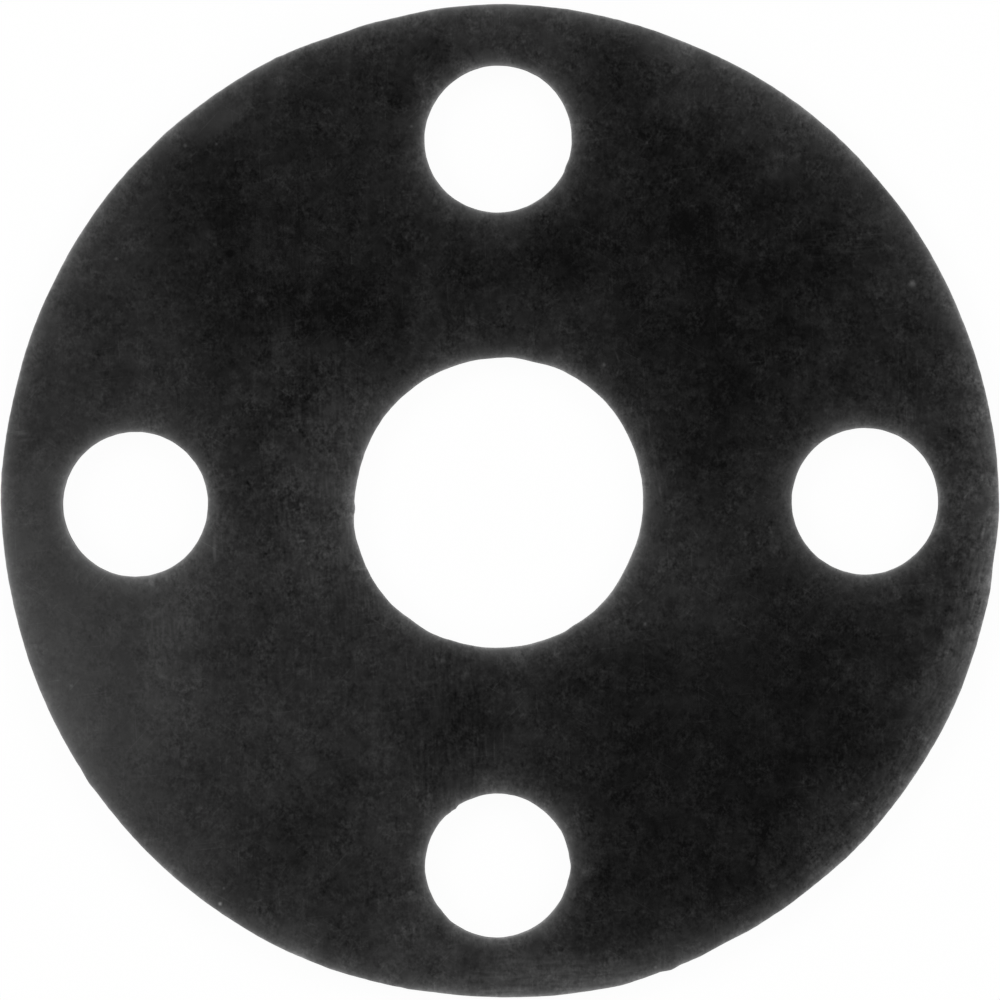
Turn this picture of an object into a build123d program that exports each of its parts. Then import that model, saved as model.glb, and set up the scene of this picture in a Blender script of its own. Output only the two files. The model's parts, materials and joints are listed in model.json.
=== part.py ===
from build123d import *
import os

# A full-face pipe flange gasket, cut in one piece from flat black rubber sheet.
# Full-face means that it covers the whole face of a 1 inch flange, so the flange's
# four bolts pass through it and hold it in place, and the pipe's bore is left open.
#
# Sizes are in millimetres. The gasket lies flat, as it does on a bench or a flange:
# the lower face of the sheet is at Z = 0, Z runs up the axis of the bore, and the
# first bolt hole is on +X.

# The sheet that it is cut from.
sheet_thickness = 3.175

# The hole for the pipe, in the middle.
bore_diameter = 31.75

# The holes for the flange bolts, evenly spaced round a circle about the bore.
bolt_hole_count = 4
bolt_hole_diameter = 15.875
bolt_circle_diameter = 79.375

# The rubber left between each bolt hole and the rim, which brings the rim out to the
# edge of the flange.
rim_land = 6.35
outside_diameter = bolt_circle_diameter + bolt_hole_diameter + 2 * rim_land

# The knife drags the skin of the sheet down a little as it goes in, so every cut has a
# small roll along its upper edge. The lower edge, where the knife comes out, is sharp.
knife_roll = 0.15

with BuildPart() as flange_gasket:
    with BuildSketch(Plane.XY) as cut_outline:
        Circle(outside_diameter / 2)
        Circle(bore_diameter / 2, mode=Mode.SUBTRACT)
        with PolarLocations(bolt_circle_diameter / 2, bolt_hole_count):
            Circle(bolt_hole_diameter / 2, mode=Mode.SUBTRACT)
    extrude(amount=sheet_thickness)
    upper_face = flange_gasket.faces().filter_by(Axis.Z).sort_by(Axis.Z)[-1]
    fillet(upper_face.edges(), radius=knife_roll)

flange_gasket.part.label = "flange_gasket"

os.makedirs("parts", exist_ok=True)
export_step(flange_gasket.part, "parts/flange_gasket.step")
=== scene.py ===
"""A full-face flange gasket of black sheet rubber, as the knife left it, on a pale table."""

import json
import math

import bmesh
import bpy
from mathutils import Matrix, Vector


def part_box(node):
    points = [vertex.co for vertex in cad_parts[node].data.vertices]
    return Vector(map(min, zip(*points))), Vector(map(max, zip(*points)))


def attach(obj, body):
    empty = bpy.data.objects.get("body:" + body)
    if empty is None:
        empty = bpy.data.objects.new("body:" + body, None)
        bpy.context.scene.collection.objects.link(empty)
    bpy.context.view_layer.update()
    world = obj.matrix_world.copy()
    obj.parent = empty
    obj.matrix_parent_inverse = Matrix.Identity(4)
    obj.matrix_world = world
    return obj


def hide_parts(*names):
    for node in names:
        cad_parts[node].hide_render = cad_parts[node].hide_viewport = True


bl_info = {
    "name": "Flange Gasket",
    "version": (1, 0, 0),
    "blender": (4, 5, 0),
    "location": "View3D > Sidebar > Gasket",
    "description": "Cuts a flange gasket from black rubber sheet and sets up the table it lies on",
    "category": "Add Mesh",
}

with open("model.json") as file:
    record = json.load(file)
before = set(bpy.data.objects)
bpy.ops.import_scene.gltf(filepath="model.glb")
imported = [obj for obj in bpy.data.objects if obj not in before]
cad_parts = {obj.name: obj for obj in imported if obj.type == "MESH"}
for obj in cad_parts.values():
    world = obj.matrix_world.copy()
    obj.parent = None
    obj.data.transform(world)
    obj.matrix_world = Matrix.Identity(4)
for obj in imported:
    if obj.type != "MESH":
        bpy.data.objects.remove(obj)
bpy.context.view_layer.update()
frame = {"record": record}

MM = 0.001

# The gasket's sizes, in metres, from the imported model.
mounts = {mount["name"]: mount["dims"] for mount in frame["record"]["mounts"]}
lowest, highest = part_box("flange_gasket")
SHEET = highest.z - lowest.z
RIM_RADIUS = highest.x
BORE_RADIUS = mounts["bore"]["r_mm"] * MM
HOLE_RADIUS = mounts["bolt_holes"]["hole_r_mm"] * MM
BOLT_CIRCLE_RADIUS = mounts["bolt_holes"]["pcd_mm"] * MM / 2
KNIFE_ROLL = SHEET - mounts["bore"]["length_mm"] * MM

# Each cut as the knife made it. A slip is how far its centre and its radius ended up
# from the drawing: x, y, radius, in mm. A mark is a place where the knife wandered: its
# bearing in degrees from +X, how far it ran away from the centre, and how far along the
# cut it reaches on each side, both in mm.
RIM_SLIP = (0, 0, 0.05)
RIM_MARKS = (
    (4, 0.20, 11), (16, 0.05, 6), (40, -0.05, 5), (60, -0.06, 7), (69, -0.19, 9),
    (76, -0.08, 6), (90, 0.08, 6), (102, -0.20, 6), (107.5, -0.27, 5), (112, -0.08, 4),
    (116.3, 0.05, 1), (134.4, -0.04, 1.5), (131, 0.04, 4), (141, 0.09, 13), (150, 0.04, 4),
    (160, 0.07, 8), (170, 0.05, 6), (179, 0.23, 10), (188, 0.06, 6), (215, 0.09, 2),
    (242, 0.04, 5), (255, -0.10, 5), (263, -0.22, 8), (269, -0.14, 6), (272, -0.04, 4),
    (284, 0.16, 5), (290.8, 0.16, 1.4), (297, -0.18, 4.5), (302, -0.10, 4), (308, -0.13, 7),
    (336, 0.10, 10), (346, 0.08, 8), (351, 0.10, 3), (356, 0.15, 6),
)
BORE_SLIP = (-0.14, -0.15, -0.11)
BORE_MARKS = (
    (0, -0.06, 3), (20, 0.05, 3), (47, 0.25, 9), (65, 0.09, 4), (72, 0.08, 2.5), (82, 0.12, 3),
    (110, -0.09, 4), (130, -0.17, 7), (146, -0.08, 4), (162, -0.23, 7), (181, -0.11, 0.8),
    (190, 0.09, 2), (197, 0.10, 2.5), (203, 0.10, 5), (218, 0.25, 6), (230, 0.09, 3),
    (243, 0.16, 3.5), (278, -0.06, 4), (291, -0.07, 3), (299.5, -0.13, 1.2), (304, -0.05, 2),
    (310, -0.07, 4), (335, -0.24, 7),
)
HOLE_CUTS = (
    ("right", (0.02, 0.05, 0.04), ((35, 0.03, 3), (100, -0.02, 3), (250, -0.03, 3))),
    ("back", (-0.19, -0.25, 0.075),
     ((45, 0.05, 5), (130, -0.06, 5), (152, -0.04, 3), (215, 0.06, 5), (237, 0.05, 3),
      (300, -0.05, 5), (341, -0.09, 0.8))),
    ("left", (0.06, -0.29, -0.045),
     ((22, 0.04, 4), (100, -0.02, 3), (200, -0.02, 3), (225, -0.03, 3), (275, -0.05, 4))),
    ("front", (-0.26, 0.11, -0.085),
     ((358, 0.12, 1.5), (30, 0.05, 1.5), (50, -0.06, 4), (110, -0.04, 2), (126.5, -0.15, 0.5),
      (130, -0.12, 1.0), (185, 0.05, 2.5), (220, -0.05, 0.6), (228, 0.05, 1.0),
      (283, -0.05, 2), (302, -0.06, 4), (321, -0.04, 2))),
)


def cut_list():
    """Every cut: name, centre and radius in metres, marks, and which way the rubber lies from it."""
    cuts = [
        ("rim", (0, 0), RIM_RADIUS, RIM_SLIP, RIM_MARKS, -1),
        ("bore", (0, 0), BORE_RADIUS, BORE_SLIP, BORE_MARKS, 1),
    ]
    for turn, (name, slip, marks) in enumerate(HOLE_CUTS):
        bearing = turn * 2 * math.pi / len(HOLE_CUTS)
        drawn = (BOLT_CIRCLE_RADIUS * math.cos(bearing), BOLT_CIRCLE_RADIUS * math.sin(bearing))
        cuts.append(("hole_" + name, drawn, HOLE_RADIUS, slip, marks, 1))
    return [
        (name, (drawn[0] + slip[0] * MM, drawn[1] + slip[1] * MM), radius + slip[2] * MM, marks, side)
        for name, drawn, radius, slip, marks, side in cuts]


CUTS = cut_list()

# The rings of faces that run along each cut, as mm into the rubber from the edge. Each
# of the wider rings has half as many faces as the one before it.
FACE_RINGS = (0.22, 0.33, 0.5)
WIDER_RINGS = (0.8, 1.3, 2.1)
UNDERSIDE_RING = 0.4
ROLL_STEPS = 4
WALL_STEPS = 8

# How far beyond the bore's rings the part of the upper face that is filled by itself
# may reach, in mm.
BORE_FILL_REACH = 4

# The name under which each point of the mesh keeps how far it lies from the nearest cut.
EDGE_DISTANCE = "edge_distance"

# Grey levels are counted as in a picture file, from 0 to this, on the sRGB curve.
WHITE_LEVEL = 255
SRGB_POWER = 2.4
SRGB_OFFSET = 0.055
SRGB_SLOPE = 12.92
SRGB_KNEE = 0.04045

# The grey level of clean rubber, and the light that its sheen gives by itself.
CLEAN_RUBBER = 21
SHEEN = 0.0033

# How deep in mm a patch that is drawn on the upper face reaches, which is well through the sheet.
THROUGH = 50

# The cloudy mottling: the width of its widest clouds in mm, and its strength in grey levels.
MOTTLE_WIDTH = 9
MOTTLE_LEVELS = 5.5

# The grain that the cloth leaves: its size across and along the sheet in mm, its strength
# in grey levels, and the width of the patches in mm where that is more or less, by what share.
GRAIN_SIZE = (0.5, 0.6)
GRAIN_LEVELS = 9.2
GRAIN_PATCH_WIDTH = 3
GRAIN_PATCH_SHARE = 0.7

# The depth of the grain in mm, and how rough the face is in its hollows and on its tops.
GRAIN_DEPTH = 0.01
FACE_ROUGHNESS = (0.76, 0.92)

# How the borders of the bloom wander: the width of the clouds, and how far they push, in mm.
WANDER_WIDTH = 9
WANDER_PUSH = 7

# Paler parts of the upper face: centre x, y, half length and half width in mm, turn in
# degrees, and how many grey levels they add.
BLOOMS = (
    (-52, -15, 34, 18, 100, 22),
    (-34, -20, 48, 34, 66, 24),
    (-46, 18, 30, 18, 80, 15),
    (-36, 15, 10, 8, 100, 7),
    (-20, 3, 22, 12, 90, 8),
    (-22, 32, 26, 16, 60, 5),
    (-33, 43, 12, 5, 48, 7),
    (-36, -18, 18, 8, 90, 7),
    (-13, -30, 26, 12, 90, 8),
    (-13, -44, 14, 8, 0, 5),
    (22, -8, 18, 13, 30, 12),
    (-6, -50, 30, 9, -8, 14),
    (12, -53, 18, 6, 8, 6),
    (3, 21, 16, 6, 0, 7),
    (2, 53, 14, 6, 0, 7),
    (44, 12, 24, 16, 100, 8),
    (54, -8, 40, 9, 80, 18),
    (28, 42, 30, 9, 140, 6),
    (3, -29, 14, 8, 90, 8),
)

# Where the grain and the mottling are stronger or weaker than elsewhere: centre x, y, half
# length and half width in mm, turn in degrees, and the change as a share of their strength.
GRAIN_CHANGES = (
    (-48, -12, 44, 16, 90, -0.5),
    (-38, -34, 22, 9, 135, -0.25),
    (-22, 3, 26, 12, 90, 0.35),
    (53, 2, 44, 10, 90, 0.45),
    (40, -36, 20, 8, 50, 0.35),
    (24, -20, 16, 14, 0, -0.25),
    (-30.6, 41.5, 6, 2.5, 35, -0.8),
    (-35, 30, 18, 12, 45, -0.15),
)

# The length and width of one streak in mm, and the value of a streak field's patch from
# which on the field is at its full strength.
STREAK_SIZE = (2.2, 0.34)
STREAK_BORDER = 0.2

# Fields of fine streaks, by the bearing in degrees that the streaks run in: centre x, y,
# half length and half width in mm, the streaks' strength and how much paler the field is,
# both in grey levels.
STREAKS = (
    (93, ((-36.4, -14.4, 3.2, 3.2, 5, 3), (-18, 1, 20, 10, 6, 0), (-6, -25, 13, 6, 7, 0),
          (-26, 24, 10, 8, 4, 0), (44, 13, 7, 2.5, 6, 1))),
    (101, ((51.8, 9, 11, 1.8, 7, 2), (16.5, 5, 8, 2, 6, 1))),
    (76, ((51.5, -10, 12, 3, 9, 3),)),
    (60, ((46.5, -25, 12, 3, 9, 4), (20, 38, 14, 8, 4, 0))),
    (47, ((38, -36, 8, 2.5, 8, 3),)),
    (3, ((5, -53.4, 15, 4.6, 9, 8), (37, 28, 5, 3, 8, 0), (-16.5, 19.3, 8, 2.8, 2, -3))),
)

# Smudges and cleaner places: centre x, y, half length and half width in mm, turn in
# degrees, and how many grey levels they add.
SMUDGES = (
    (8, 29, 9, 6, 0, -9), (-25, -1, 7, 5, 90, -9), (-24, 8, 5, 4, 0, 5),
    (3.5, -30, 6, 5, 0, -8), (9, -42, 5, 5, 90, -9), (-12, -34, 8.6, 6.2, 90, 6),
    (-22, -41, 8.6, 5.2, 0, 5), (30.5, 8, 5, 5, 0, -6), (29, -7, 9, 6, 90, -6),
    (40, -19, 8, 5, 0, 9), (29, -29, 9, 6, 0, -6), (25, -42, 7, 7, 0, -6),
    (-32, 34, 14, 9, 0, -5), (-16, 12, 5.8, 5.2, 0, 6), (-8, -20, 7, 4, 0, 5),
    (20, 29, 6, 8, 90, -5), (38, 22, 7.5, 6.5, 0, 5), (-29, -19, 6, 5, 0, -5),
    (46.5, -25, 4.3, 4.7, 0, -6), (-29.6, 41.6, 4.5, 1.7, 35, 12), (-20, 22, 14, 5, 0, -4),
    (11, 52, 4, 3, 0, 5), (-22.8, 29.5, 1.2, 1, 0, 8), (-18.2, 28.4, 1.2, 1.4, 0, 7),
    (-31.6, 28.8, 1, 1.4, 0, 8), (-25.9, 21.9, 1.2, 1, 0, 9), (-26, -3.5, 7, 4, 90, -4),
    (53, -8, 4, 3, 90, 5), (48.5, -15.5, 4.5, 1.6, 72, 8), (45.3, -22, 4, 1, 58, 9),
    (44.2, -26.5, 2.6, 0.8, 75, 9),
)

# Marks that stand out on the upper face: centre x, y, length, and width at half strength,
# all in mm, turn in degrees, and how many grey levels they add.
SCRATCHES = (
    (-31.0, -5.2, 4.4, 0.3, 90, 18), (-36.6, -13.8, 2.7, 0.2, 84, 7),
    (-35.8, -14.3, 2.2, 0.2, 96, 7), (-34.9, -13.5, 1.9, 0.2, 80, 7),
    (-1.5, -26.1, 4.3, 0.16, 90, 8), (-0.6, -26.8, 4.9, 0.16, 90, 9),
    (0.4, -25.7, 3.8, 0.16, 90, 8), (-22.2, 19.1, 3.3, 0.14, 90, 8),
    (-39.4, 16.9, 5.2, 0.14, 90, 7), (31.2, -14.0, 4.4, 0.14, 90, 7),
    (15.2, -10.9, 2.0, 0.15, 39, 16), (12.7, 15.9, 2.4, 0.16, 110, 14),
    (12.8, 14.0, 1.8, 0.16, 73, 14), (14.3, 10.2, 2.7, 0.16, 84, 10),
    (16.9, 3.3, 2.1, 0.2, 104, 12), (17.4, 1.2, 2.3, 0.2, 103, 12),
    (-51.9, 7.4, 2.8, 0.4, -6, 16), (-51.6, 6.7, 2.4, 0.3, 5, 10),
    (41.1, 15.3, 1.5, 0.18, 28, 16), (43.5, 18.3, 2.6, 0.4, 90, 15),
    (38.5, -17.1, 1.6, 0.16, -20, 10), (37.8, -19.2, 2.0, 0.16, 11, 8),
    (52.5, -3.4, 2.9, 0.25, 78, 16), (51.5, -10.8, 2.1, 0.25, 82, 14),
    (-26.3, -43.4, 1.7, 0.16, 21, 14), (13.1, -44.4, 2.2, 0.16, 0, 12),
    (12.8, -45.8, 1.3, 0.16, 0, 10), (-12.4, -36.2, 1.1, 0.16, 0, 10),
    (-17.0, 6.3, 1.0, 0.16, 0, 12), (-13.7, -24.5, 16.0, 0.9, 90, 7),
    (-12.2, -27.0, 12.0, 0.6, 90, 5), (-7.0, -22.8, 7.0, 0.7, 90, 6),
    (2.5, -22.8, 6.0, 1.2, 80, 5), (30.7, 21.8, 6.0, 0.16, 90, 8),
    (43.3, 14.0, 10.0, 0.16, 90, 6), (-32.4, -16.5, 10.0, 1.6, 6, -8),
    (-36.8, -19.0, 1.2, 0.35, -20, 12), (5.5, -49.3, 18.0, 0.6, 0, 7),
    (3.0, -50.0, 21.0, 0.5, 0, 6), (8.0, -50.8, 15.0, 0.4, 0, 6), (1.0, -51.7, 15.0, 0.4, 0, 5),
    (-21.4, -3.3, 1.4, 0.3, 0, -12), (-21.5, -4.3, 0.9, 0.25, 0, 18),
    (48.8, 7.8, 0.9, 0.2, 90, -18),
)

# Specks of grit and lint: x, y, width in mm at half strength, and how many grey levels
# they add.
SPECKS = (
    (11.3, 14.9, 0.34, 30), (15.8, -13.3, 0.34, 26), (44.8, 23.7, 0.6, 40),
    (-21.3, -4.2, 0.27, 20), (-9.6, 40.8, 0.27, 24), (-8.4, 43.5, 0.27, 24),
    (-12.8, 45.0, 0.27, 24), (-41.7, 26.4, 0.34, 24), (-34.2, 38.7, 0.34, 26),
    (-30.8, 38.9, 0.27, 22), (16.0, 39.1, 0.27, 24), (16.4, 38.4, 0.34, -16),
    (23.5, 44.8, 0.27, 20), (33.4, 36.9, 0.27, 20), (-37.8, -9.0, 0.45, 14),
    (-46.6, -20.0, 0.27, 22), (-30.4, -43.7, 0.34, 60), (-30.0, -42.0, 0.27, 26),
    (-8.8, -38.3, 0.5, 16), (-9.8, -42.5, 0.5, 18), (9.3, -40.1, 1.3, 20),
    (16.9, -50.6, 0.27, 22), (29.5, -3.3, 0.27, 22), (28.1, -4.5, 0.27, 20),
    (30.3, 13.9, 0.27, 20), (-29.3, 27.0, 0.7, -20), (-21.8, 39.9, 0.8, -9),
)

# The faint hair scratches: the bearings that they run in, in degrees, the length and width
# of one in mm, the noise values between which one shows, and how many grey levels it adds.
HAIR_BEARINGS = (7, 48, 93, 151)
HAIR_SIZE = (5, 0.16)
HAIR_FROM, HAIR_TO = 0.46, 0.75
HAIR_LEVELS = 8

# Painted glare: a halo of light from the white table, painted into the rubber's colour
# along every cut and paler towards the edge: mm from the edge, and the grey that is added there.
PAINTED_EDGE_GLARE = (
    (0.0, "#8a8a8a"), (0.12, "#646464"), (0.25, "#525252"), (0.45, "#424242"), (0.9, "#313131"),
    (1.5, "#242424"), (2.4, "#191919"), (4.0, "#0f0f0f"), (6.5, "#070707"), (10.0, "#000000"),
)

# Where the painted glare along the cuts is stronger or weaker: the width of the patches in mm, and by what
# share.
GLARE_PATCH_WIDTH = 6
GLARE_PATCH_SHARE = 0.25

# Painted glare towards the rim: light from the white table painted into the colour, from so many
# mm off the centre to so many, and how many grey levels it adds at the rim.
PAINTED_RIM_GLARE = (44, 54, 6)

# On the cut walls: the length and height of a knife line, its depth and the width of a
# pore, all in mm, and the darkest and palest tone as shares of the colour of a cut.
KNIFE_LINE_SIZE = (4, 0.18)
KNIFE_LINE_DEPTH = 0.05
PORE_WIDTH = 0.3
CUT_TONES = (0.6, 1.8)

# A face is a cut wall where its normal rises by less than this, and an edge is smooth
# where its faces meet at less than so many degrees.
WALL_RISE = 0.1
SMOOTH_ANGLE = 40

# The Mix node's colour sockets: its two inputs and its result.
MIX_FIRST, MIX_SECOND, MIX_RESULT = 6, 7, 2


def linear(colour):
    """The linear RGB of an sRGB hex colour."""
    values = [int(colour[i:i + 2], 16) / WHITE_LEVEL for i in (1, 3, 5)]
    return tuple(
        v / SRGB_SLOPE if v <= SRGB_KNEE else ((v + SRGB_OFFSET) / (1 + SRGB_OFFSET)) ** SRGB_POWER
        for v in values)


class GasketSettings(bpy.types.PropertyGroup):
    """Sizes and colours that can be changed before the gasket is cut."""
    outline_spacing: bpy.props.FloatProperty(
        name="Outline Spacing", description="Length of one edge along a cut",
        default=0.25 * MM, unit="LENGTH", subtype="DISTANCE")
    knife_chatter: bpy.props.FloatProperty(
        name="Knife Chatter", description="How rough the knife leaves a cut",
        default=0.05 * MM, unit="LENGTH", subtype="DISTANCE")
    wall_dish: bpy.props.FloatProperty(
        name="Wall Dish", description="How far a cut wall is hollow at mid height",
        default=0.06 * MM, unit="LENGTH", subtype="DISTANCE")
    face_mesh: bpy.props.FloatProperty(
        name="Face Mesh", description="Size of the faces in the middle of the sheet",
        default=1.5 * MM, unit="LENGTH", subtype="DISTANCE")
    ripple_height: bpy.props.FloatProperty(
        name="Ripple Height", description="How far the calendered face rises and falls",
        default=0.1 * MM, unit="LENGTH", subtype="DISTANCE")
    ripple_width: bpy.props.FloatProperty(
        name="Ripple Width", description="Distance over which the face rises and falls",
        default=18 * MM, unit="LENGTH", subtype="DISTANCE")
    rubber_black: bpy.props.FloatVectorProperty(
        name="Rubber Black", description="The clean rubber", subtype="COLOR",
        default=linear("#020202"), min=0, max=1)
    # this grey carries the real bloom and also the painted glare of light along the cuts, which the
    # description calls scuffs
    bloom_and_glare_grey: bpy.props.FloatVectorProperty(
        name="Bloom Grey", description="Rubber that is wholly hidden by bloom or scuffs", subtype="COLOR",
        default=linear("#c8c8c8"), min=0, max=1)
    cut_black: bpy.props.FloatVectorProperty(
        name="Cut Black", description="The fresh rubber on the cut walls", subtype="COLOR",
        default=linear("#1e1e1e"), min=0, max=1)
    table_white: bpy.props.FloatVectorProperty(
        name="Table White", description="The table", subtype="COLOR",
        default=linear("#f4f4f4"), min=0, max=1)


def node(tree, kind, inputs=None, **settings):
    """Adds a node with its settings, and a value or a link for each input that is named."""
    made = tree.nodes.new("ShaderNode" + kind)
    for name, value in settings.items():
        setattr(made, name, value)
    for name, value in (inputs or {}).items():
        if isinstance(value, bpy.types.NodeSocket):
            tree.links.new(value, made.inputs[name])
        else:
            made.inputs[name].default_value = value
    return made


def new_material(name):
    """An empty material, and its tree."""
    material = bpy.data.materials.new(name)
    material.use_nodes = True
    material.node_tree.nodes.clear()
    return material, material.node_tree


def place_in_mm(tree):
    """The place on the piece, in mm."""
    at = node(tree, "TexCoord").outputs["Object"]
    return node(tree, "Mapping", {"Vector": at, "Scale": (1 / MM,) * 3}).outputs[0]


def place_within(tree, place, centre, half_size, turn):
    """The place counted from a centre, in half sizes along and across a bearing."""
    return node(
        tree, "Mapping", {"Vector": place, "Location": centre, "Scale": half_size,
                          "Rotation": (0, 0, math.radians(turn))},
        vector_type="TEXTURE").outputs[0]


def patch(tree, place, centre, half_size, turn):
    """A soft oval patch: 1 in its middle, 0 from its border on."""
    if turn % 90:
        inward = node(
            tree, "TexGradient", {"Vector": place_within(tree, place, centre, half_size, turn)},
            gradient_type="SPHERICAL")
        return node(
            tree, "MapRange", {"Value": inward.outputs["Fac"]},
            interpolation_type="SMOOTHSTEP").outputs[0]
    # a patch that lies square needs no Mapping, which is slow to render
    length, width, depth = half_size
    size = (width, length, depth) if turn % 180 else half_size
    counted = node(
        tree, "VectorMath", {0: place, 1: tuple(1 / part for part in size),
                             2: tuple(-at / part for at, part in zip(centre, size))},
        operation="MULTIPLY_ADD")
    away = node(tree, "VectorMath", {0: counted.outputs[0]}, operation="LENGTH")
    return node(
        tree, "MapRange", {"Value": away.outputs["Value"], "From Min": 1, "From Max": 0},
        interpolation_type="SMOOTHSTEP").outputs[0]


def swing(tree, pattern, amount, total):
    """Adds so much of a pattern to a running total."""
    return node(tree, "Math", {0: pattern, 1: amount, 2: total}, operation="MULTIPLY_ADD").outputs[0]


def product(tree, first, second):
    """One value times another."""
    return node(tree, "Math", {0: first, 1: second}, operation="MULTIPLY").outputs[0]


def to_light(tree, levels):
    """Grey levels as linear light."""
    whole = 1 + SRGB_OFFSET
    eased = swing(tree, levels, 1 / whole / WHITE_LEVEL, SRGB_OFFSET / whole)
    return node(tree, "Math", {0: eased, 1: SRGB_POWER}, operation="POWER").outputs[0]


def to_levels(tree, light):
    """Linear light as grey levels."""
    root = node(tree, "Math", {0: light, 1: 1 / SRGB_POWER}, operation="POWER").outputs[0]
    return swing(tree, root, WHITE_LEVEL * (1 + SRGB_OFFSET), -WHITE_LEVEL * SRGB_OFFSET)


def ramp(tree, value, stops):
    """The grey that a value reads off a list of places and hex greys."""
    reach = stops[-1][0]
    rank = node(tree, "Math", {0: value, 1: reach}, operation="DIVIDE", use_clamp=True)
    made = node(tree, "ValToRGB", {"Fac": rank.outputs[0]})
    elements = made.color_ramp.elements
    while len(elements) < len(stops):
        elements.new(0.5)
    for element, (place, colour) in zip(elements, stops):
        element.position = place / reach
        element.color = (*linear(colour), 1)
    return made.outputs["Color"]


def bloom_and_rim_glare_levels(tree, place):
    """The bloom: soft patches whose borders wander like clouds, with painted glare added towards the rim.
    """
    wander = node(
        tree, "TexNoise", {"Vector": place, "Scale": 1 / WANDER_WIDTH, "Detail": 3, "Roughness": 0.75})
    pushed = node(
        tree, "VectorMath", {0: wander.outputs["Color"], 1: (2 * WANDER_PUSH, 2 * WANDER_PUSH, 0),
                             2: (-WANDER_PUSH, -WANDER_PUSH, 0)}, operation="MULTIPLY_ADD")
    drifted = node(tree, "Mapping", {"Vector": place, "Location": pushed.outputs[0]}).outputs[0]
    total = CLEAN_RUBBER
    for x, y, half_length, half_width, turn, levels in BLOOMS:
        soft = patch(tree, drifted, (x, y, 0), (half_length, half_width, THROUGH), turn)
        total = swing(tree, soft, levels, total)
    # painted light: glare from the white table, paler towards the rim
    off_centre = node(tree, "VectorMath", {0: place}, operation="LENGTH").outputs["Value"]
    towards_rim = node(
        tree, "MapRange", {"Value": off_centre, "From Min": PAINTED_RIM_GLARE[0], "From Max": PAINTED_RIM_GLARE[1],
                           "To Min": 0, "To Max": PAINTED_RIM_GLARE[2]})
    return swing(tree, towards_rim.outputs[0], 1, total)


def add_painted_glare(tree, place, total):
    """Painted glare: a patchy halo of light along the cut edges, painted into the colour over the bloom's
    light.
    """
    patchy = node(
        tree, "TexNoise", {"Vector": place, "Scale": 1 / GLARE_PATCH_WIDTH, "Detail": 2},
        normalize=False)
    distance = node(tree, "Attribute", attribute_name=EDGE_DISTANCE).outputs["Fac"]
    # painted light: the glare's grey, read off by the distance from the nearest cut
    painted_glare = ramp(tree, product(tree, distance, 1 / MM), PAINTED_EDGE_GLARE)
    strength = swing(tree, patchy.outputs[0], GLARE_PATCH_SHARE, 1)
    return to_levels(tree, swing(tree, painted_glare, strength, to_light(tree, total)))


def add_wear(tree, place, total):
    """Streak fields, hair scratches, smudges, scratches that stand out, and specks."""
    for bearing, fields in STREAKS:
        local = place_within(tree, place, (bearing, 0, 0), (*STREAK_SIZE, 1), bearing)
        drawn = node(
            tree, "TexNoise", {"Vector": local, "Scale": 1, "Detail": 1, "Distortion": 0.3},
            normalize=False)
        for x, y, half_length, half_width, levels, paler in fields:
            soft = patch(tree, place, (x, y, 0), (half_length, half_width, THROUGH), bearing)
            field = node(tree, "MapRange", {"Value": soft, "From Max": STREAK_BORDER}).outputs[0]
            total = swing(tree, field, swing(tree, drawn.outputs[0], levels, paler), total)
    for bearing in HAIR_BEARINGS:
        local = place_within(tree, place, (bearing, 0, 0), (*HAIR_SIZE, 1), bearing)
        hair = node(tree, "TexNoise", {"Vector": local, "Scale": 1, "Detail": 0}, normalize=False)
        thin = node(
            tree, "MapRange", {"Value": hair.outputs[0], "From Min": HAIR_FROM,
                               "From Max": HAIR_TO, "To Min": 0, "To Max": HAIR_LEVELS})
        total = swing(tree, thin.outputs[0], 1, total)
    for x, y, half_length, half_width, turn, levels in SMUDGES:
        soft = patch(tree, place, (x, y, 0), (half_length, half_width, THROUGH), turn)
        total = swing(tree, soft, levels, total)
    top = SHEET / MM
    for x, y, length, width, turn, levels in SCRATCHES:
        soft = patch(tree, place, (x, y, top), (length / 2, width, 1), turn)
        total = swing(tree, soft, levels, total)
    for x, y, size, levels in SPECKS:
        away = node(tree, "VectorMath", {0: place, 1: (x, y, top)}, operation="DISTANCE")
        soft = node(
            tree, "MapRange", {"Value": away.outputs["Value"], "From Min": size, "From Max": 0},
            interpolation_type="SMOOTHSTEP")
        total = swing(tree, soft.outputs[0], levels, total)
    return total


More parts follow.
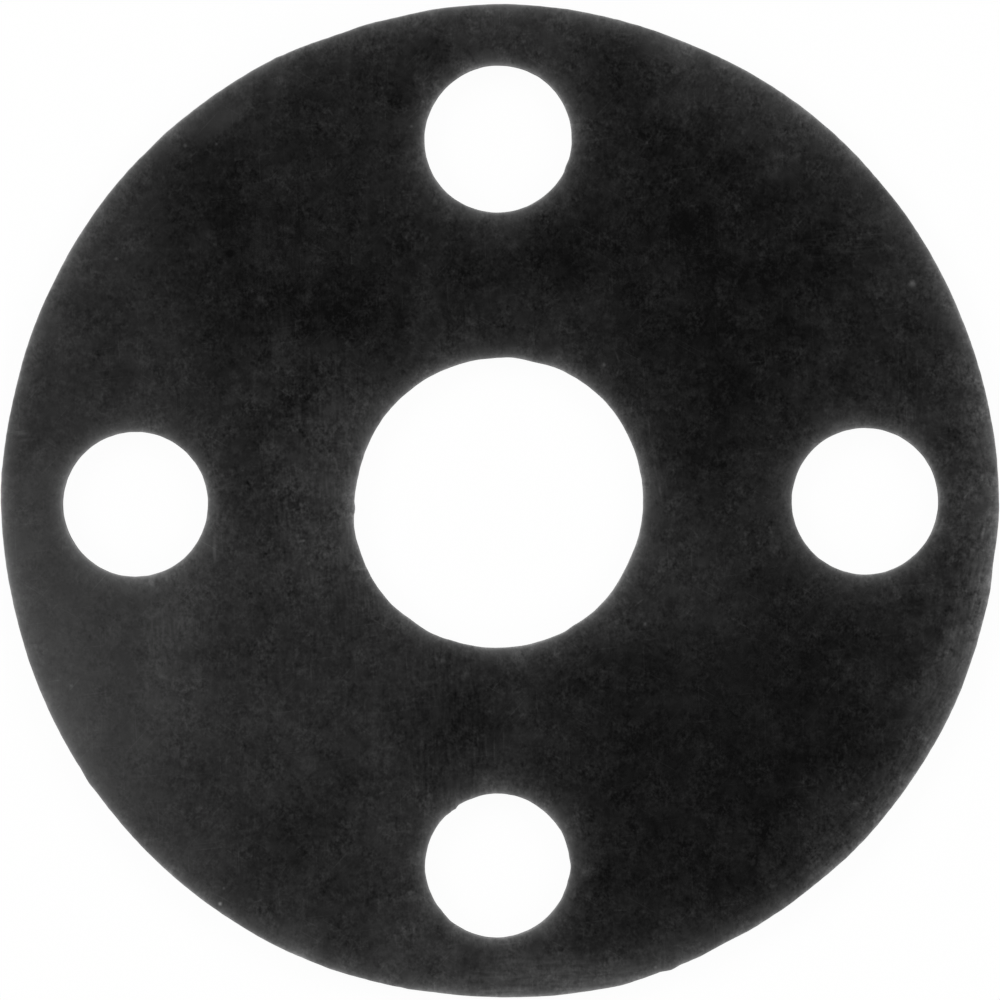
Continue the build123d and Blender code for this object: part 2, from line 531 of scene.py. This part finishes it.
def calendered_rubber(settings):
    """Black carbon-filled sheet rubber, pressed between rollers and a cloth, then handled.

    That gives the eye a matt near-black with a cloudy grey bloom, a fine grain from the
    cloth, fields of faint streaks and a few scratches, and a painted glare of light along the cut edges.
    """
    material, tree = new_material("calendered_black_rubber")
    place = place_in_mm(tree)

    # a roughness of 1 makes the mottling and the grain as strong at each size, from the
    # widest clouds down to a pixel
    mottle = node(
        tree, "TexNoise", {"Vector": place, "Scale": 1 / MOTTLE_WIDTH, "Detail": 3, "Roughness": 1.0},
        normalize=False)
    across, along = GRAIN_SIZE
    woven = node(
        tree, "Mapping", {"Vector": place, "Scale": (1 / across, 1 / along, 1 / across)}).outputs[0]
    grain = node(
        tree, "TexNoise", {"Vector": woven, "Scale": 1, "Detail": 1.5, "Roughness": 1.0},
        normalize=False)
    patchy = node(
        tree, "TexNoise", {"Vector": place, "Scale": 1 / GRAIN_PATCH_WIDTH, "Detail": 2, "Roughness": 0.8},
        normalize=False)
    strength = 1
    for x, y, half_length, half_width, turn, change in GRAIN_CHANGES:
        soft = patch(tree, place, (x, y, 0), (half_length, half_width, THROUGH), turn)
        strength = swing(tree, soft, change, strength)
    marks = product(tree, mottle.outputs[0], product(tree, strength, MOTTLE_LEVELS))
    patched = product(tree, strength, swing(tree, patchy.outputs[0], GRAIN_PATCH_SHARE, 1))
    marks = swing(tree, grain.outputs[0], product(tree, patched, GRAIN_LEVELS), marks)
    marks = add_wear(tree, place, marks)
    # the painted glare along the cuts and towards the rim is added here, with the bloom
    total = swing(tree, marks, 1, add_painted_glare(tree, place, bloom_and_rim_glare_levels(tree, place)))

    # the sheen gives the first of the light, and the grey of the bloom, the marks and the painted glare on
    # the black gives the rest
    amount = node(
        tree, "MapRange", {"Value": to_light(tree, total), "From Min": SHEEN,
                           "From Max": SHEEN + settings.bloom_and_glare_grey[0], "To Min": 0, "To Max": 1})
    colour = node(
        tree, "Mix", {0: amount.outputs[0], MIX_FIRST: (*settings.rubber_black, 1),
                      MIX_SECOND: (*settings.bloom_and_glare_grey, 1)}, data_type="RGBA")
    rough = node(
        tree, "MapRange", {"Value": grain.outputs[0], "From Min": -1, "From Max": 1,
                           "To Min": FACE_ROUGHNESS[0], "To Max": FACE_ROUGHNESS[1]})
    bump = node(
        tree, "Bump", {"Height": grain.outputs[0], "Distance": GRAIN_DEPTH * MM, "Strength": 0.6})
    shader = node(
        tree, "BsdfPrincipled", {
            "Base Color": colour.outputs[MIX_RESULT], "Roughness": rough.outputs[0], "IOR": 1.5,
            "Specular IOR Level": 0.08, "Normal": bump.outputs[0]})
    node(tree, "OutputMaterial", {"Surface": shader.outputs[0]})
    return material


def knife_cut_rubber(settings):
    """The same rubber where the knife went through it.

    That gives the eye a deeper, slightly sleeker black with fine lines along the cut.
    """
    material, tree = new_material("knife_cut_black_rubber")
    place = place_in_mm(tree)
    length, height = KNIFE_LINE_SIZE
    drawn = node(
        tree, "VectorMath", {0: place, 1: (1 / length, 1 / length, 1 / height)}, operation="MULTIPLY")
    lines = node(tree, "TexNoise", {"Vector": drawn.outputs[0], "Scale": 1, "Detail": 3, "Roughness": 0.6})
    pores = node(tree, "TexNoise", {"Vector": place, "Scale": 1 / PORE_WIDTH, "Detail": 2})
    mixed = node(
        tree, "Math", {0: lines.outputs[0], 1: 0.6, 2: pores.outputs[0]}, operation="MULTIPLY_ADD")
    tone = node(
        tree, "MapRange", {"Value": mixed.outputs[0], "From Min": 0.5, "From Max": 1.1,
                           "To Min": 0, "To Max": 1})
    dark, pale = [tuple(share * value for value in settings.cut_black) for share in CUT_TONES]
    colour = node(
        tree, "Mix", {0: tone.outputs[0], MIX_FIRST: (*dark, 1), MIX_SECOND: (*pale, 1)},
        data_type="RGBA")
    bump = node(
        tree, "Bump", {"Height": mixed.outputs[0], "Distance": KNIFE_LINE_DEPTH * MM, "Strength": 0.7})
    shader = node(
        tree, "BsdfPrincipled", {
            "Base Color": colour.outputs[MIX_RESULT], "Roughness": 0.55, "IOR": 1.5,
            "Specular IOR Level": 0.3, "Normal": bump.outputs[0]})
    node(tree, "OutputMaterial", {"Surface": shader.outputs[0]})
    return material


def edit_mesh(piece):
    """The mesh of the piece that is in edit mode, with its vertices in order."""
    mesh = bmesh.from_edit_mesh(piece.data)
    mesh.verts.ensure_lookup_table()
    return mesh


def select_only(piece, wanted):
    """Selects the vertices that a test picks, and the edges and faces that they span."""
    mesh = edit_mesh(piece)
    bpy.ops.mesh.select_all(action="DESELECT")
    for vertex in mesh.verts:
        vertex.select = wanted(vertex)
    mesh.select_flush(True)
    bmesh.update_edit_mesh(piece.data)


def mark_selected(piece, distance):
    """Writes how far into the rubber the selected vertices lie."""
    mesh = edit_mesh(piece)
    layer = mesh.verts.layers.float[EDGE_DISTANCE]
    for vertex in mesh.verts:
        if vertex.select:
            vertex[layer] = distance
    bmesh.update_edit_mesh(piece.data)


def draw_outline(name, centre, radius, marks, seed, settings):
    """Draws one cut as a loop of edges, with the knife's chatter and marks in it."""
    bpy.ops.object.select_all(action="DESELECT")
    thinnings = 2 ** len(WIDER_RINGS)
    count = thinnings * round(2 * math.pi * radius / settings.outline_spacing / thinnings)
    bpy.ops.mesh.primitive_circle_add(vertices=count, radius=radius, location=(0, 0, 0))
    outline = bpy.context.object
    outline.name = name
    bpy.ops.object.mode_set(mode="EDIT")
    edit_mesh(outline).verts.layers.float.new(EDGE_DISTANCE)

    bpy.ops.mesh.select_all(action="SELECT")
    bpy.ops.transform.vertex_random(offset=settings.knife_chatter, uniform=0, normal=0, seed=seed)
    bpy.ops.mesh.vertices_smooth(factor=0.5, repeat=2)
    bpy.ops.transform.resize(value=(1, 1, 0), center_override=(0, 0, 0))

    for bearing, height, reach in marks:
        angle = math.radians(bearing)
        along = (math.cos(angle), math.sin(angle))
        nearest = max(edit_mesh(outline).verts, key=lambda v: v.co.x * along[0] + v.co.y * along[1]).index
        select_only(outline, lambda vertex: vertex.index == nearest)
        bpy.ops.transform.translate(
            value=(along[0] * height * MM, along[1] * height * MM, 0),
            use_proportional_edit=True, use_proportional_connected=True,
            proportional_edit_falloff="SMOOTH", proportional_size=reach * MM)
    bpy.ops.mesh.select_all(action="SELECT")
    bpy.ops.transform.translate(value=(centre[0], centre[1], 0))
    return outline


def wall_profile(settings):
    """The section of a cut, from the lower edge up: into the rubber, height, as pairs."""
    wall_top = SHEET - KNIFE_ROLL
    profile = []
    for step in range(1, WALL_STEPS + 1):
        share = step / WALL_STEPS
        profile.append((settings.wall_dish * math.sin(math.pi * share), wall_top * share))
    for step in range(1, ROLL_STEPS + 1):
        angle = math.pi / 2 * step / ROLL_STEPS
        profile.append((KNIFE_ROLL * (1 - math.cos(angle)), wall_top + KNIFE_ROLL * math.sin(angle)))
    profile += [(ring * MM, SHEET) for ring in FACE_RINGS]
    return profile


def thin_loop(outline, centre):
    """Merges the vertices of the selected loop in pairs, so that it has half as many edges."""
    mesh = edit_mesh(outline)
    loop = [v for v in mesh.verts if v.select]
    loop.sort(key=lambda v: math.atan2(v.co.y - centre[1], v.co.x - centre[0]))
    rank = {vertex.index: place for place, vertex in enumerate(loop)}
    bpy.ops.mesh.select_all(action="DESELECT")
    for edge in edit_mesh(outline).edges:
        first, second = sorted(rank.get(vertex.index, -1) for vertex in edge.verts)
        if first >= 0 and first % 2 == 0 and second == first + 1:
            edge.select_set(True)
    bmesh.update_edit_mesh(outline.data)
    bpy.ops.mesh.merge(type="COLLAPSE")
    edit_mesh(outline).select_flush(True)


def extrude_rings(outline, centre, radius, side, profile):
    """Pulls the selected loop through a profile, one ring of faces at a time."""
    here, height = radius, 0.0
    for inset, level in profile:
        there = radius + side * inset
        bpy.ops.mesh.extrude_region_move(TRANSFORM_OT_translate={"value": (0, 0, level - height)})
        bpy.ops.transform.resize(
            value=(there / here, there / here, 1), center_override=(centre[0], centre[1], level))
        mark_selected(outline, inset)
        if inset >= WIDER_RINGS[0] * MM:
            thin_loop(outline, centre)
        here, height = there, level


def raise_cut(cut, seed, settings):
    """One cut: its outline, its wall, the roll over its upper edge and the rings beside it."""
    name, centre, radius, marks, side = cut
    outline = draw_outline(name, centre, radius, marks, seed, settings)
    first_loop = len(edit_mesh(outline).verts)
    wider = [(ring * MM, SHEET) for ring in WIDER_RINGS]
    extrude_rings(outline, centre, radius, side, wall_profile(settings) + wider)
    select_only(outline, lambda vertex: vertex.index < first_loop)
    underside = [(ring * MM, 0.0) for ring in (UNDERSIDE_RING, *WIDER_RINGS)]
    extrude_rings(outline, centre, radius, side, underside)
    bpy.ops.object.mode_set(mode="OBJECT")
    return outline


def nearest_edge(x, y):
    """How far a point of the sheet lies from the nearest cut, less than 0 outside the rubber."""
    return min(
        side * (math.hypot(x - centre[0], y - centre[1]) - radius)
        for _, centre, radius, _, side in CUTS)


def lay_web(settings):
    """The middle of the upper face, as a grid of squares that stays clear of the cuts."""
    bpy.ops.object.select_all(action="DESELECT")
    cells = round(2 * RIM_RADIUS / settings.face_mesh)
    bpy.ops.mesh.primitive_grid_add(
        x_subdivisions=cells, y_subdivisions=cells, size=2 * RIM_RADIUS, location=(0, 0, 0))
    web = bpy.context.object
    web.name = "web"
    bpy.ops.object.mode_set(mode="EDIT")
    bpy.ops.transform.translate(value=(0, 0, SHEET))
    layer = edit_mesh(web).verts.layers.float.new(EDGE_DISTANCE)
    clear = WIDER_RINGS[-1] * MM + settings.face_mesh * 0.5
    mesh = edit_mesh(web)
    for vertex in mesh.verts:
        vertex[layer] = nearest_edge(vertex.co.x, vertex.co.y)
    select_only(web, lambda vertex: vertex[layer] < clear)
    bpy.ops.mesh.delete(type="VERT")
    bpy.ops.mesh.select_all(action="SELECT")
    bpy.ops.mesh.delete_loose(use_verts=True, use_edges=True, use_faces=False)
    bpy.ops.object.mode_set(mode="OBJECT")
    return web


def fill_open(piece, wanted):
    """Fills between the open loops of edges that a test on their middle points picks."""
    mesh = edit_mesh(piece)
    bpy.ops.mesh.select_all(action="DESELECT")
    for edge in mesh.edges:
        middle = (edge.verts[0].co + edge.verts[1].co) / 2
        edge.select_set(edge.is_boundary and wanted(middle))
    bmesh.update_edit_mesh(piece.data)
    bpy.ops.mesh.fill(use_beauty=True)


class GASKET_OT_cut_sheet(bpy.types.Operator):
    """Cut the gasket from black sheet rubber, with the knife's marks, the worn finish and a painted glare
    along the cuts
    """
    bl_idname = "gasket.cut_sheet"
    bl_label = "Cut Gasket Sheet"
    bl_options = {"REGISTER", "UNDO"}

    def execute(self, context):
        settings = context.scene.gasket
        parts = [raise_cut(cut, seed, settings) for seed, cut in enumerate(CUTS, start=1)]
        parts.append(lay_web(settings))
        bpy.ops.object.select_all(action="DESELECT")
        for part in parts:
            part.select_set(True)
        sheet = parts[0]
        context.view_layer.objects.active = sheet
        bpy.ops.object.join()
        sheet.name = "gasket_sheet"
        sheet.data.name = "gasket_sheet"

        # fills the upper face between the web and the rings of the rim and the bolt holes,
        # then round the bore, and then the whole underside
        bore_reach = BORE_RADIUS + (WIDER_RINGS[-1] + BORE_FILL_REACH) * MM
        half = SHEET / 2
        bpy.ops.object.mode_set(mode="EDIT")
        fill_open(sheet, lambda middle: middle.z > half and middle.xy.length > bore_reach)
        fill_open(sheet, lambda middle: middle.z > half and middle.xy.length <= bore_reach)
        fill_open(sheet, lambda middle: middle.z < half)
        bpy.ops.mesh.select_all(action="SELECT")
        bpy.ops.mesh.normals_make_consistent(inside=False)
        open_edges = sum(not edge.is_manifold for edge in edit_mesh(sheet).edges)
        bpy.ops.object.mode_set(mode="OBJECT")
        if open_edges:
            raise RuntimeError(f"the sheet isn't closed: {open_edges} edges are open")

        # calendering leaves the face a little uneven
        upper = sheet.vertex_groups.new(name="upper_face")
        upper.add(
            [v.index for v in sheet.data.vertices if v.co.z > SHEET - 1.1 * KNIFE_ROLL], 1, "REPLACE")
        ripple = bpy.data.textures.new("sheet_ripple", type="CLOUDS")
        ripple.noise_scale = settings.ripple_width
        uneven = sheet.modifiers.new("Ripple", "DISPLACE")
        uneven.texture = ripple
        uneven.texture_coords = "LOCAL"
        uneven.direction = "Z"
        uneven.strength = settings.ripple_height
        uneven.vertex_group = upper.name
        bpy.ops.object.modifier_apply(modifier=uneven.name)

        sheet.data.materials.append(calendered_rubber(settings))
        sheet.data.materials.append(knife_cut_rubber(settings))
        for face in sheet.data.polygons:
            face.material_index = int(abs(face.normal.z) < WALL_RISE)
        bpy.ops.object.shade_smooth_by_angle(angle=math.radians(SMOOTH_ANGLE))

        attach(sheet, "root")
        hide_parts("flange_gasket")
        return {"FINISHED"}


# The picture: its width in pixels, its scale, and where the rim's centre falls in it,
# counted from the centre of the top left pixel.
PICTURE_WIDTH = 1000
PIXELS_PER_MM = 9.2011
RIM_CENTRE_PX = (499.37, 501.19)
SENSOR_WIDTH = 36.0
CAMERA_HEIGHT = 2.4

TABLE_WIDTH = 12.0
TABLE_GAP = 0.02 * MM
# how much of the table's white is its own, so that the rest can show the shadow
TABLE_GLOW = 0.96
WORLD_GREY = 0.25

# Soft boxes round the table: bearing and height in degrees, distance and width in
# metres, and power in watts.
SOFT_BOXES = (
    ("key", 160, 45, 1.6, 0.9, 11.0),
    ("fill", 20, 45, 1.6, 0.9, 8.5),
    ("back", 90, 45, 1.6, 0.9, 5.5),
    ("front", 270, 45, 1.6, 0.9, 5.5),
)


def table_paint(settings):
    """White matt laminate, which looks plain white and keeps a soft shadow."""
    material, tree = new_material("white_matt_laminate")
    ray = node(tree, "LightPath")
    seen = ray.outputs["Is Camera Ray"]
    for kind in ("Is Glossy Ray", "Is Transmission Ray"):
        seen = node(tree, "Math", {0: seen, 1: ray.outputs[kind]}, operation="MAXIMUM").outputs[0]
    share = node(tree, "Math", {0: seen, 1: TABLE_GLOW}, operation="MULTIPLY")
    matt = node(tree, "BsdfDiffuse", {"Color": (*settings.table_white, 1)})
    white = node(tree, "Emission", {"Color": (1, 1, 1, 1), "Strength": 1.0})
    mixed = node(tree, "MixShader", {0: share.outputs[0], 1: matt.outputs[0], 2: white.outputs[0]})
    node(tree, "OutputMaterial", {"Surface": mixed.outputs[0]})
    return material


class GASKET_OT_set_stage(bpy.types.Operator):
    """Add the table, the soft boxes and the camera that looks straight down"""
    bl_idname = "gasket.set_stage"
    bl_label = "Set Stage"
    bl_options = {"REGISTER", "UNDO"}

    def execute(self, context):
        settings = context.scene.gasket
        bpy.ops.object.select_all(action="DESELECT")
        bpy.ops.mesh.primitive_plane_add(size=TABLE_WIDTH, location=(0, 0, lowest.z - TABLE_GAP))
        table = context.object
        table.name = "table"
        table.data.materials.append(table_paint(settings))

        for name, bearing, height, distance, width, power in SOFT_BOXES:
            turn, lift = math.radians(bearing), math.radians(height)
            place = (
                distance * math.cos(lift) * math.cos(turn),
                distance * math.cos(lift) * math.sin(turn),
                distance * math.sin(lift),
            )
            tilt = (math.pi / 2 - lift, 0, turn + math.pi / 2)
            bpy.ops.object.light_add(type="AREA", location=place, rotation=tilt)
            lamp = context.object
            lamp.name = "soft_box_" + name
            lamp.data.shape = "SQUARE"
            lamp.data.size = width
            lamp.data.energy = power
            lamp.visible_camera = False

        world = bpy.data.worlds.new("dim_studio")
        world.use_nodes = True
        world.node_tree.nodes["Background"].inputs["Color"].default_value = (WORLD_GREY,) * 3 + (1,)
        context.scene.world = world
        context.scene.view_settings.view_transform = "Standard"

        middle = (PICTURE_WIDTH - 1) / 2
        aim_x = (middle - RIM_CENTRE_PX[0]) / PIXELS_PER_MM * MM
        aim_y = (RIM_CENTRE_PX[1] - middle) / PIXELS_PER_MM * MM
        bpy.ops.object.camera_add(location=(aim_x, aim_y, SHEET + CAMERA_HEIGHT), rotation=(0, 0, 0))
        camera = context.object
        camera.name = "camera"
        camera.data.sensor_width = SENSOR_WIDTH
        camera.data.lens = SENSOR_WIDTH * CAMERA_HEIGHT / (PICTURE_WIDTH / PIXELS_PER_MM * MM)
        context.scene.camera = camera
        return {"FINISHED"}


class GASKET_PT_panel(bpy.types.Panel):
    """Lists the gasket's steps in the sidebar"""
    bl_idname = "GASKET_PT_panel"
    bl_label = "Flange Gasket"
    bl_space_type = "VIEW_3D"
    bl_region_type = "UI"
    bl_category = "Gasket"

    def draw(self, context):
        settings = context.scene.gasket
        for name in GasketSettings.__annotations__:
            self.layout.prop(settings, name)
        self.layout.operator(GASKET_OT_cut_sheet.bl_idname)
        self.layout.operator(GASKET_OT_set_stage.bl_idname)


CLASSES = (GasketSettings, GASKET_OT_cut_sheet, GASKET_OT_set_stage, GASKET_PT_panel)


def register():
    for cls in CLASSES:
        bpy.utils.register_class(cls)
    bpy.types.Scene.gasket = bpy.props.PointerProperty(type=GasketSettings)


def unregister():
    del bpy.types.Scene.gasket
    for cls in reversed(CLASSES):
        bpy.utils.unregister_class(cls)


def main():
    register()
    bpy.ops.gasket.cut_sheet()
    bpy.ops.gasket.set_stage()


if __name__ == "__main__":
    main()
